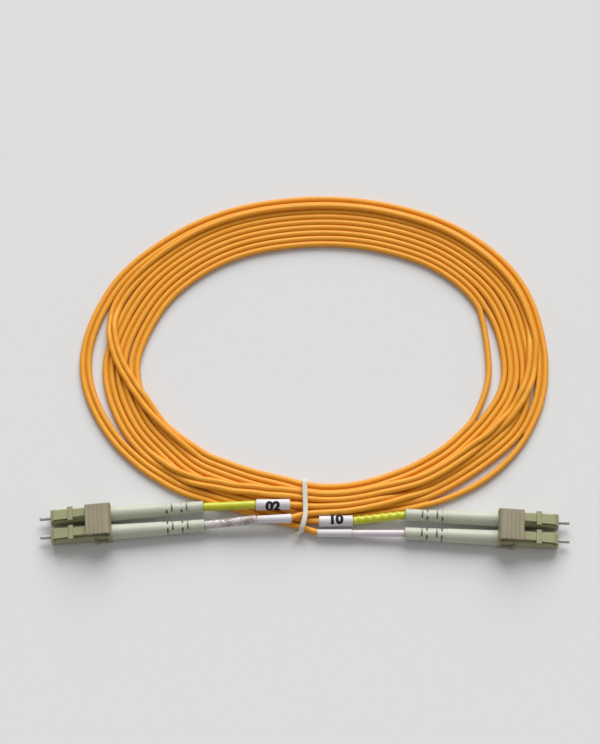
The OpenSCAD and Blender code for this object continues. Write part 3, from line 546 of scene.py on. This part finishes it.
# ---- the numbered labels ----
# White marker tubes pushed on between the sleeves and the tie, two of them printed with a plain number.
# The ink follows the tube's round surface.
label_r = {"left_a": (1.8, 1.8), "left_b": (1.15, 1.55), "right_a": (1.8, 1.8), "right_b": (1.32, 1.2)}
numbers = {"left_a": ("02", 37, False), "right_a": ("01", -8, True)}    # text, lean in degrees, upside down
number_size, number_bold, number_gap = 4.6, 0.27, 0.03
ink_cuts = 14

label_white = principled("label_white", (0.70, 0.68, 0.70), 0.4, Specular_IOR_Level=0.4)
add_tone(label_white, (0.72, 0.70, 0.72), (0.64, 0.60, 0.63), 180, 0.35, rough=(0.34, 0.48))
add_grain(label_white, 1200, 0.00002)
label_ink = principled("label_ink", (0.008, 0.008, 0.009), 0.7, Specular_IOR_Level=0.2)
add_tone(label_ink, (0.006, 0.006, 0.007), (0.02, 0.019, 0.02), 900, 0.6, rough=(0.6, 0.8))


def number_mesh(text):
    """The number as a flat mesh, centred, in millimetres, cut into strips that can follow a round surface."""
    flat = bpy.data.curves.new("number", "FONT")
    flat.body, flat.size, flat.offset = text, number_size, number_bold
    flat.align_x, flat.align_y = "CENTER", "CENTER"
    holder = bpy.data.objects.new("number", flat)
    bpy.context.collection.objects.link(holder)
    mesh = bpy.data.meshes.new_from_object(holder.evaluated_get(bpy.context.evaluated_depsgraph_get()))
    bpy.data.objects.remove(holder)
    cut = bmesh.new()
    cut.from_mesh(mesh)
    bmesh.ops.remove_doubles(cut, verts=cut.verts, dist=1e-5)
    ys = [v.co.y for v in cut.verts]
    for height in np.linspace(min(ys), max(ys), ink_cuts)[1:-1]:
        bmesh.ops.bisect_plane(cut, geom=cut.verts[:] + cut.edges[:] + cut.faces[:],
                               plane_co=(0, height, 0), plane_no=(0, 1, 0))
    cut.to_mesh(mesh)
    cut.free()
    return mesh, (min(ys) + max(ys)) / 2


def wrap_number(name, text, middle_point, direction, radius, lean, turned):
    """Lays a number round a tube: its width runs along the tube, and its height round it, from a lean off
    the top."""
    mesh, centre = number_mesh(text)
    flat = np.zeros(len(mesh.vertices) * 3)
    mesh.vertices.foreach_get("co", flat)
    flat = flat.reshape(-1, 3)
    sign = -1 if turned else 1
    reading = direction if direction[0] > 0 else -direction
    near = np.cross(reading, [0, 0, 1])
    near /= np.linalg.norm(near)
    top = np.cross(near, reading)
    angle = radians(lean) - sign * (flat[:, 1] - centre) / radius
    far = (radius + number_gap) * (np.sin(angle)[:, None] * near + np.cos(angle)[:, None] * top)
    placed = middle_point + sign * flat[:, :1] * reading + far
    mesh.vertices.foreach_set("co", (placed * mm).ravel())
    mesh.update()
    mesh.materials.append(label_ink)
    piece = bpy.data.objects.new(name, mesh)
    bpy.context.collection.objects.link(piece)
    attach(piece, "patch_cord")
    return piece


def tapered_radius(front_r, back_r):
    """A radius that goes evenly from the front one to the back one."""
    return lambda line, sides: np.linspace(front_r, back_r, len(line))[:, None] * np.ones(sides)


for tag, side, port in plugs:
    start, direction = leg_corners(side, port)[2], heading(*leg_headings[side][port][1])
    marker = place_tube(f"marker_{tag}", start, direction, label_len, tapered_radius(*label_r[tag]),
                        label_white, "white_label", f"label_{tag}")
    on_jacket[port].append(marker)
    if tag in numbers:
        text, lean, turned = numbers[tag]
        label_middle = start + (cord_gap + 0.5 * label_len) * direction
        on_jacket[port].append(wrap_number(f"number_{tag}", text, label_middle, direction, label_r[tag][0],
                                           lean, turned))

# ---- the tie ----
# A soft white plastic band that goes round the bundle and the legs. Its ends are bent away at the front.
tie_w, tie_t, tail_w = 1.6, 0.42, 1.2
loop_steps = 24                     # points between two stations of the loop
tie_loop = [[0, 14.85, 3], [0, 14.3, 5.2], [0.05, 12.5, 5.62], [0.2, 7, 5.62], [0.25, 3, 5.62],
            [-0.2, 0.2, 5.55], [-0.8, -1.8, 4.9], [-1.2, -2.7, 3.4], [-1.3, -2.7, 1.7], [-1, -1.9, 0.5],
            [-0.5, 0.6, 0.26], [0, 7, 0.26], [0, 13, 0.26], [0, 14.6, 0.8]]
tie_tail = [[-0.95, -2.3, 4.6], [-1.35, -2.95, 3.6], [-1.9, -3.3, 2.7], [-2.6, -3.45, 2], [-3.2, -3.5, 1.6]]


def band_grid(line, across, width, thick, sides=16):
    """A flat band along a line: each ring is a rounded oblong, whose width lies across and whose thickness
    is square to it."""
    along = np.gradient(line, axis=0)
    along /= np.linalg.norm(along, axis=1)[:, None]
    across = across - (across * along).sum(1)[:, None] * along
    across /= np.linalg.norm(across, axis=1)[:, None]
    face = np.cross(across, along)
    a = 2 * np.pi * (np.arange(sides) + 0.5) / sides
    c, s = np.cos(a), np.sin(a)
    full = (np.abs(c) ** 5 + np.abs(s) ** 5) ** -0.2
    return (line[:, None] + (width / 2 * full * c)[None, :, None] * across[:, None]
            + (thick / 2 * full * s)[None, :, None] * face[:, None])


tie_white = principled("tie_white", (0.72, 0.70, 0.62), 0.5, Subsurface_Weight=0.2,
                       Subsurface_Radius=(1, 0.9, 0.7), Subsurface_Scale=0.0004)
add_tone(tie_white, (0.74, 0.72, 0.64), (0.62, 0.59, 0.48), 260, 0.4, rough=(0.4, 0.55))
add_grain(tie_white, 1800, 0.00003, stretch=(3, 1, 1))
loop = closed_curve(np.array(tie_loop), loop_steps)
loop_line = smoothed(even_steps(np.vstack([loop, loop[:1]]), 0.3), 2)
loop_across = np.tile([1.0, 0, 0], (len(loop_line), 1))
tie_band = grid_piece("tie_band", band_grid(loop_line, loop_across, tie_w, tie_t), tie_white)
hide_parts("cord_tie")
tail_line = smoothed(even_steps(np.array(tie_tail, float), 0.2), 6)
twist = np.linspace(0, 1, len(tail_line))[:, None]
tail_across = (1 - twist) * [1.0, 0, 0.2] + twist * [0.1, 0.6, 1.0]
tail_band = grid_piece("tie_tail", band_grid(tail_line, tail_across, tail_w, tie_t), tie_white)
on_jacket[0].extend([tie_band, tail_band])

# ---- the plugs ----
# Square latched plug bodies of pale greenish moulded plastic, each with a springy latch on top.
# Inside are a ceramic ferrule in a metal flange, its spring, and the crimp on the cord's yarn.
tags = [tag for tag, side, port in plugs]


def finish_nodes(names, material):
    """Gives each of the named solids the material."""
    for name in names:
        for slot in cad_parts[name].material_slots:
            slot.material = material


plug_plastic = principled("plug_plastic", (0.32, 0.315, 0.175), 0.38, Specular_IOR_Level=0.5)
add_tone(plug_plastic, (0.35, 0.345, 0.195), (0.275, 0.27, 0.145), 160, 0.3, rough=(0.3, 0.46))
add_grain(plug_plastic, 3200, 0.000015, rounding=0.00012)
latch_plastic = principled("latch_plastic", (0.35, 0.345, 0.19), 0.34, Specular_IOR_Level=0.5)
add_tone(latch_plastic, (0.38, 0.375, 0.21), (0.30, 0.295, 0.155), 220, 0.3, rough=(0.26, 0.42))
add_grain(latch_plastic, 3600, 0.000012, rounding=0.0001)
finish_nodes([f"housing_{t}" for t in tags] + [f"rear_body_{t}" for t in tags], plug_plastic)
finish_nodes([f"latch_{t}" for t in tags], latch_plastic)

ceramic = principled("zirconia", (0.40, 0.40, 0.37), 0.12, Coat_Weight=0.4, Coat_Roughness=0.05)
add_tone(ceramic, (0.43, 0.43, 0.40), (0.35, 0.35, 0.32), 500, 0.2, rough=(0.08, 0.18))
add_grain(ceramic, 5000, 0.000004, rounding=0.00004)
finish_nodes([f"ferrule_{t}" for t in tags], ceramic)

nickel = principled("nickel", (0.62, 0.60, 0.56), 0.28, Metallic=1.0)
add_tone(nickel, (0.66, 0.64, 0.60), (0.50, 0.48, 0.45), 700, 0.5, rough=(0.2, 0.38))
add_grain(nickel, 4000, 0.00001, stretch=(0.2, 1, 1))
spring_steel = principled("spring_steel", (0.55, 0.55, 0.56), 0.24, Metallic=1.0)
add_tone(spring_steel, (0.60, 0.60, 0.61), (0.42, 0.42, 0.43), 900, 0.4, rough=(0.16, 0.32))
add_grain(spring_steel, 5000, 0.000006)
crimp_metal = principled("crimp_metal", (0.58, 0.52, 0.44), 0.34, Metallic=1.0)
add_tone(crimp_metal, (0.62, 0.56, 0.47), (0.44, 0.38, 0.31), 600, 0.5, rough=(0.26, 0.45))
add_grain(crimp_metal, 2500, 0.00002)
finish_nodes([f"ferrule_flange_{t}" for t in tags], nickel)
finish_nodes([f"crimp_sleeve_{t}" for t in tags], crimp_metal)

buffer_white = principled("fibre_buffer", (0.78, 0.78, 0.74), 0.4, Subsurface_Weight=0.2,
                          Subsurface_Radius=(1, 1, 0.9), Subsurface_Scale=0.0003)
add_tone(buffer_white, (0.82, 0.82, 0.78), (0.70, 0.70, 0.65), 800, 0.3, rough=(0.34, 0.46))
add_grain(buffer_white, 3000, 0.000008)
finish_nodes([f"buffered_fibre_{t}" for t in tags], buffer_white)

# the coil springs, which are pressed together between the flange and the rear body as a ferrule goes in
collar_rear, nose_front = 4.45, 10.5    # how far behind the pair's front the spring begins and ends
spring_r, wire_r, spring_turns, spring_gap = 1.175, 0.175, 5, 0.05


def coil_grid(side, port, steps=28, sides=10):
    """Rings along a helix: each ring's middle is the axis plus the coil's radius times the direction out
    from the axis, and each of its points adds the wire's radius times the cosine outwards and the sine
    against the axis, so that the faces point out of the wire."""
    turn = np.arange(spring_turns * steps + 1) / steps
    first, last = collar_rear + spring_gap + wire_r, nose_front - spring_gap - wire_r
    axis = np.array([port_point(side, port, first + (last - first) * t / spring_turns) for t in turn])
    forth = (axis[-1] - axis[0]) / np.linalg.norm(axis[-1] - axis[0])
    beside = np.cross(forth, [0, 0, 1])
    a = 2 * np.pi * turn[:, None]
    outward = np.cos(a) * beside + np.sin(a) * np.array([0, 0, 1])
    b = 2 * np.pi * np.arange(sides)[None, :, None] / sides
    return (axis + spring_r * outward)[:, None] + wire_r * (np.cos(b) * outward[:, None] - np.sin(b) * forth)


for tag, side, port in plugs:
    spring = grid_piece(f"coil_spring_{tag}", coil_grid(side, port), spring_steel, body=None)
    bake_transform(spring)
    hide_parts(f"ferrule_spring_{tag}")

# ---- the boots ----
# Soft moulded boots over the crimps, with two pairs of bend relief slots before a plain end ring.
# A shrunk tube lies round the jacket inside each; its dark colour is painted shade, which shows at the bottom
# of the slots.
boot_rubber = principled("boot_rubber", (0.51, 0.53, 0.43), 0.5, Subsurface_Weight=0.15,
                         Subsurface_Radius=(1, 1, 0.8), Subsurface_Scale=0.0008)
add_tone(boot_rubber, (0.53, 0.55, 0.445), (0.46, 0.48, 0.37), 110, 0.25, rough=(0.44, 0.58))
add_grain(boot_rubber, 2400, 0.00003, rounding=0.00012)
finish_nodes([f"boot_{t}" for t in tags], boot_rubber)
# painted shade: the tube's dark colour stands in for the shade deep in the boots' slots
tube_painted_shade = principled("tube_painted_shade", (0.14, 0.14, 0.105), 0.55)
add_tone(tube_painted_shade, (0.12, 0.12, 0.09), (0.18, 0.18, 0.14), 500, 0.5, rough=(0.5, 0.65))
add_grain(tube_painted_shade, 2000, 0.00002)
shrink_front, shrink_rear, shrink_r = 27.2, 46.4, 1.08
for tag, side, port in plugs:
    shrunk_ends = [port_point(side, port, shrink_front), port_point(side, port, shrink_rear)]
    shrunk_line = even_steps(np.array(shrunk_ends), 1.0)
    shrunk = grid_piece(f"shrunk_tube_{tag}", tube_grid(shrunk_line, shrink_r, 20), tube_painted_shade)

# ---- the duplex clips and their triggers ----
# A tan moulded clip holds the two plugs of an end side by side. A ridged trigger is pinned in its cheeks
# and its bar presses both latches at once.
clip_plastic = principled("clip_plastic", (0.31, 0.27, 0.18), 0.46, Specular_IOR_Level=0.45)
add_tone(clip_plastic, (0.34, 0.295, 0.20), (0.275, 0.235, 0.15), 150, 0.3, rough=(0.4, 0.54))
add_grain(clip_plastic, 2800, 0.00002, rounding=0.00012)
finish_nodes(["duplex_clip_left", "duplex_clip_right", "trigger_left", "trigger_right"], clip_plastic)
